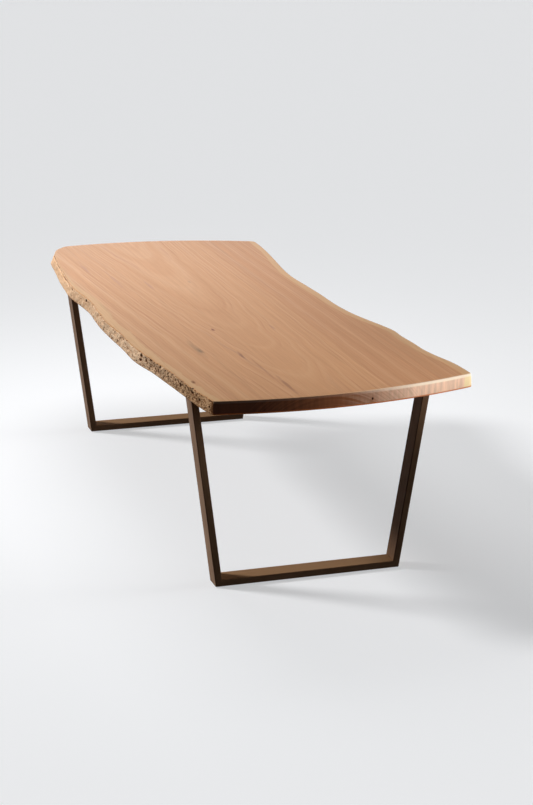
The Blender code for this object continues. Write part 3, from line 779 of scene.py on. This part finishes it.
def weld_run(leg):
    """Places round three sides of a leg's top, between its outer corners, and the way out of each."""
    top = max(vert.co.z for vert in leg.data.vertices)
    rim = np.array([vert.co for vert in leg.data.vertices if vert.co.z > top - SAME_LEVEL])
    low, high = rim.min(axis=0), rim.max(axis=0)
    width, depth = high[0] - low[0], high[1] - low[1]
    right = low[1] + high[1] > 0
    inner, outwards = (low[1], 1) if right else (high[1], -1)
    quarter_turn = math.pi / 2
    bend = TUBE_CORNER * quarter_turn
    straight = depth - BEAD_START - TUBE_CORNER
    lengths = [straight, bend, width - 2 * TUBE_CORNER, bend, straight]
    total = sum(lengths)
    places, ways = [], []
    for step in range(math.ceil(total / BEAD_STEP) + 1):
        left, part = min(step * BEAD_STEP, total), 0
        while part < 4 and left > lengths[part]:
            left -= lengths[part]
            part += 1
        angle = math.pi + quarter_turn * (part // 2)
        if part % 2:
            angle += left / TUBE_CORNER
        way = (math.cos(angle), math.sin(angle))
        if part == 0:
            spot = (0.0, depth - BEAD_START - left)
        elif part == 2:
            spot = (TUBE_CORNER + left, 0.0)
        elif part == 4:
            spot = (width, TUBE_CORNER + left)
        else:
            middle = TUBE_CORNER if part == 1 else width - TUBE_CORNER
            spot = (middle + TUBE_CORNER * way[0], TUBE_CORNER + TUBE_CORNER * way[1])
        places.append((low[0] + spot[0], inner + outwards * spot[1], top))
        ways.append((way[0], outwards * way[1], 0.0))
    return np.array(places), np.array(ways)


def lay_bead(leg):
    places, ways = weld_run(leg)
    bm = bmesh.new()
    rings = []
    for step, (place, way) in enumerate(zip(places, ways)):
        run, left = step * BEAD_STEP, (len(places) - 1 - step) * BEAD_STEP
        ripple = abs(math.sin(math.pi * run / BEAD_RIPPLE))
        size = BEAD_LEG * (0.86 + 0.12 * ripple + 0.06 * noise.noise(Vector((run * 160, place[0], place[1]))))
        size *= 0.6 + 0.4 * swell(min(run, left), 0.0, BEAD_TAPER)
        profile = [(BEAD_ROOT, -size), (BEAD_TOE, -size)]
        profile += [(out * size, rise * size) for out, rise in BEAD_FRONT]
        profile += [(size, PLATE_GAP), (BEAD_ROOT, PLATE_GAP)]
        rings.append([bm.verts.new(place + way * out + np.array((0, 0, rise))) for out, rise in profile])
    for first, second in zip(rings, rings[1:]):
        for i in range(len(first)):
            j = (i + 1) % len(first)
            bm.faces.new((first[i], first[j], second[j], second[i]))
    bm.faces.new(rings[0])
    bm.faces.new(rings[-1][::-1])
    bmesh.ops.recalc_face_normals(bm, faces=bm.faces)
    return link_piece(leg.name + "_weld", bm)


for end in ("near", "far"):
    for side in ("left", "right"):
        bead = lay_bead(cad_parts[f"{end}_{side}_leg"])
        refinish(bead, leg_paint)
        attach(bead, "root")


# Fasteners. Zinc-plated button-head bolts and washers, turned and plated, hold the slab through slots in
# the plates; they screw into brass inserts let into its underside.
ZINC_DARK, ZINC_PALE, ZINC_ROUGHNESS = tone(176, 178, 176), tone(208, 209, 204), 0.28
BRASS_DARK, BRASS_PALE, BRASS_ROUGHNESS = tone(186, 148, 82), tone(214, 178, 108), 0.32
HAZE_ROUGHNESS = 0.12


def bare_metal(name, dark, pale, roughness):
    material, tree, shader = new_finish(name)
    haze = speckle(tree, stretched(tree, 260.0, 260.0, 260.0), 3.0)
    dulled = fade_between(tree, haze, 0.3, 0.7, roughness, roughness + HAZE_ROUGHNESS)
    tree.links.new(colour_steps(tree, haze, (0.35, dark), (0.65, pale)), shader.inputs["Base Color"])
    tree.links.new(dulled, shader.inputs["Roughness"])
    shader.inputs["Metallic"].default_value = 1.0
    return material


zinc = bare_metal("zinc_plate", ZINC_DARK, ZINC_PALE, ZINC_ROUGHNESS)
brass = bare_metal("turned_brass", BRASS_DARK, BRASS_PALE, BRASS_ROUGHNESS)
for end in ("near", "far"):
    for number in range(1, 5):
        refinish(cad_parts[f"{end}_bolt_{number}"], zinc)
        refinish(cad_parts[f"{end}_washer_{number}"], zinc)
        refinish(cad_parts[f"{end}_insert_{number}"], brass)


# Glides. Thin black plastic pads, moulded with a fine grain and stuck under the ends of each floor bar.
GLIDE_DARK, GLIDE_PALE = tone(20, 20, 20), tone(38, 37, 36)


def moulded_black():
    material, tree, shader = new_finish("moulded_black_glide")
    grain = speckle(tree, stretched(tree, 700.0, 700.0, 700.0), 2.0)
    colour = colour_steps(tree, grain, (0.3, GLIDE_DARK), (0.7, GLIDE_PALE))
    tree.links.new(colour, shader.inputs["Base Color"])
    shader.inputs["Roughness"].default_value = 0.7
    raise_grain(tree, shader, grain, 0.2, 0.0004)
    return material


glide_black = moulded_black()
for end in ("near", "far"):
    for side in ("left", "right"):
        refinish(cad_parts[f"{end}_{side}_glide"], glide_black)


# Studio. A plain pale floor runs to a horizon that is bright on the left, dimmer to the right and dark
# above. A fill from the left, low light raking in from the right, a big softbox over the far half and a
# small one beside the near right corner light the table.
FLOOR_REACH = 80.0
FLOOR = (0.50, 0.505, 0.515, 1.0)
FLOOR_GLOW, GLOW_STRENGTH = (0.86, 0.87, 0.885, 1.0), 0.55
FLOOR_BOUNCE, ROOM_BOUNCE = (0.04, 0.036, 0.032, 1.0), (0.02, 0.02, 0.02, 1.0)
BLACK = (0.0, 0.0, 0.0, 1.0)
HORIZON = (1.0, 1.0, 1.0, 1.0)
SHADED_HORIZON = (0.36, 0.36, 0.36, 1.0)
CEILING = (0.03, 0.03, 0.031, 1.0)
RIGHT_ALONG, RIGHT_ACROSS = 0.32, 0.947
SHADE_FROM, SHADE_TO = -0.14, 0.12
CEILING_FROM, CEILING_TO = 0.195, 0.285
OPEN_SPREAD = 180


def seen_directly(tree):
    """1 for what the camera sees, straight or in a reflection, and 0 for light that bounces."""
    ray = add(tree, "LightPath").outputs
    either = calc(tree, "MAXIMUM", ray["Is Camera Ray"], ray["Is Glossy Ray"])
    return calc(tree, "MAXIMUM", either, ray["Is Transmission Ray"])


floor_mesh = bpy.data.meshes.new("studio_floor")
floor_corners = [(x * FLOOR_REACH, y * FLOOR_REACH, 0) for x, y in ((-1, -1), (1, -1), (1, 1), (-1, 1))]
floor_mesh.from_pydata(floor_corners, [], [(0, 1, 2, 3)])
floor = bpy.data.objects.new("studio_floor", floor_mesh)
scene.collection.objects.link(floor)
floor_paint, tree, shader = new_finish("studio_floor")
seen = seen_directly(tree)
tree.links.new(mix_colours(tree, seen, FLOOR_BOUNCE, FLOOR), shader.inputs["Base Color"])
tree.links.new(mix_colours(tree, seen, BLACK, FLOOR_GLOW), shader.inputs["Emission Color"])
shader.inputs["Emission Strength"].default_value = GLOW_STRENGTH
shader.inputs["Roughness"].default_value = 0.9
shader.inputs["Specular IOR Level"].default_value = 0.0
floor_mesh.materials.append(floor_paint)

world = bpy.data.worlds.new("studio")
scene.world = world
world.use_nodes = True
tree = world.node_tree
sky = tree.nodes["Background"]
way = add(tree, "SeparateXYZ", {0: add(tree, "TexCoord").outputs["Generated"]}).outputs
to_right = calc(tree, "MULTIPLY_ADD", way[0], RIGHT_ALONG, calc(tree, "MULTIPLY", way[1], RIGHT_ACROSS))
horizon = mix_colours(tree, fade_between(tree, to_right, SHADE_FROM, SHADE_TO), HORIZON, SHADED_HORIZON)
backdrop = mix_colours(tree, fade_between(tree, way[2], CEILING_FROM, CEILING_TO), horizon, CEILING)
tree.links.new(mix_colours(tree, seen_directly(tree), ROOM_BOUNCE, backdrop), sky.inputs["Color"])


def hang_light(name, lamp, towards, place=(0, 0, 0), glints=False):
    holder = bpy.data.objects.new(name, lamp)
    holder.visible_camera = False
    holder.visible_glossy = glints
    holder.location = place
    holder.rotation_euler = Vector(towards).to_track_quat("-Z", "Y").to_euler()
    scene.collection.objects.link(holder)


def soft_light(name, level, towards, spread_deg):
    """Even light from one side; at level 1 a surface square to it shows its own colour."""
    lamp = bpy.data.lights.new(name, "SUN")
    lamp.energy = level * math.pi
    lamp.angle = math.radians(spread_deg)
    hang_light(name, lamp, towards)


def softbox(name, size, watts, towards, place, spread_deg=OPEN_SPREAD):
    """A square lamp; only one with its sides closed in shows in reflections."""
    lamp = bpy.data.lights.new(name, "AREA")
    lamp.shape = "SQUARE"
    lamp.size = size
    lamp.energy = watts
    lamp.spread = math.radians(spread_deg)
    hang_light(name, lamp, towards, place, glints=spread_deg < OPEN_SPREAD)


soft_light("left_fill", level=0.79, towards=(0.55, 1.0, -0.80), spread_deg=11)
soft_light("right_rake", level=1.1, towards=(-0.05, -1.0, -0.05), spread_deg=25)
softbox("far_softbox", size=1.6, watts=38.4, towards=(1.11, 0.37, -1.76), place=(-1.05, -0.35, 2.51))
softbox("near_softbox", size=0.4, watts=1.68, towards=(-0.53, -0.57, -0.003), place=(1.65, 0.95, 1.02),
        spread_deg=60)

# Camera. It stands off the near end's left corner, above the table top, as the picture was taken.
PICTURE_HEIGHT = 805
FOCAL_PIXELS = 1939.5
SENSOR_WIDTH, FARTHEST_SEEN = 36.0, 300
STAND = (6.8434, -2.2222, 2.6058)
TURN, LOOK_DOWN, ROLL = 70.874, 17.281, 1.206

camera = bpy.data.objects.new("camera", bpy.data.cameras.new("camera"))
camera.data.sensor_width = SENSOR_WIDTH
camera.data.lens = FOCAL_PIXELS * SENSOR_WIDTH / PICTURE_HEIGHT
camera.data.clip_end = FARTHEST_SEEN
camera.matrix_world = (Matrix.Translation(STAND) @ Matrix.Rotation(math.radians(TURN), 4, "Z")
                       @ Matrix.Rotation(math.radians(90 - LOOK_DOWN), 4, "X")
                       @ Matrix.Rotation(math.radians(ROLL), 4, "Z"))
scene.collection.objects.link(camera)
scene.camera = camera
scene.view_settings.view_transform = "Standard"
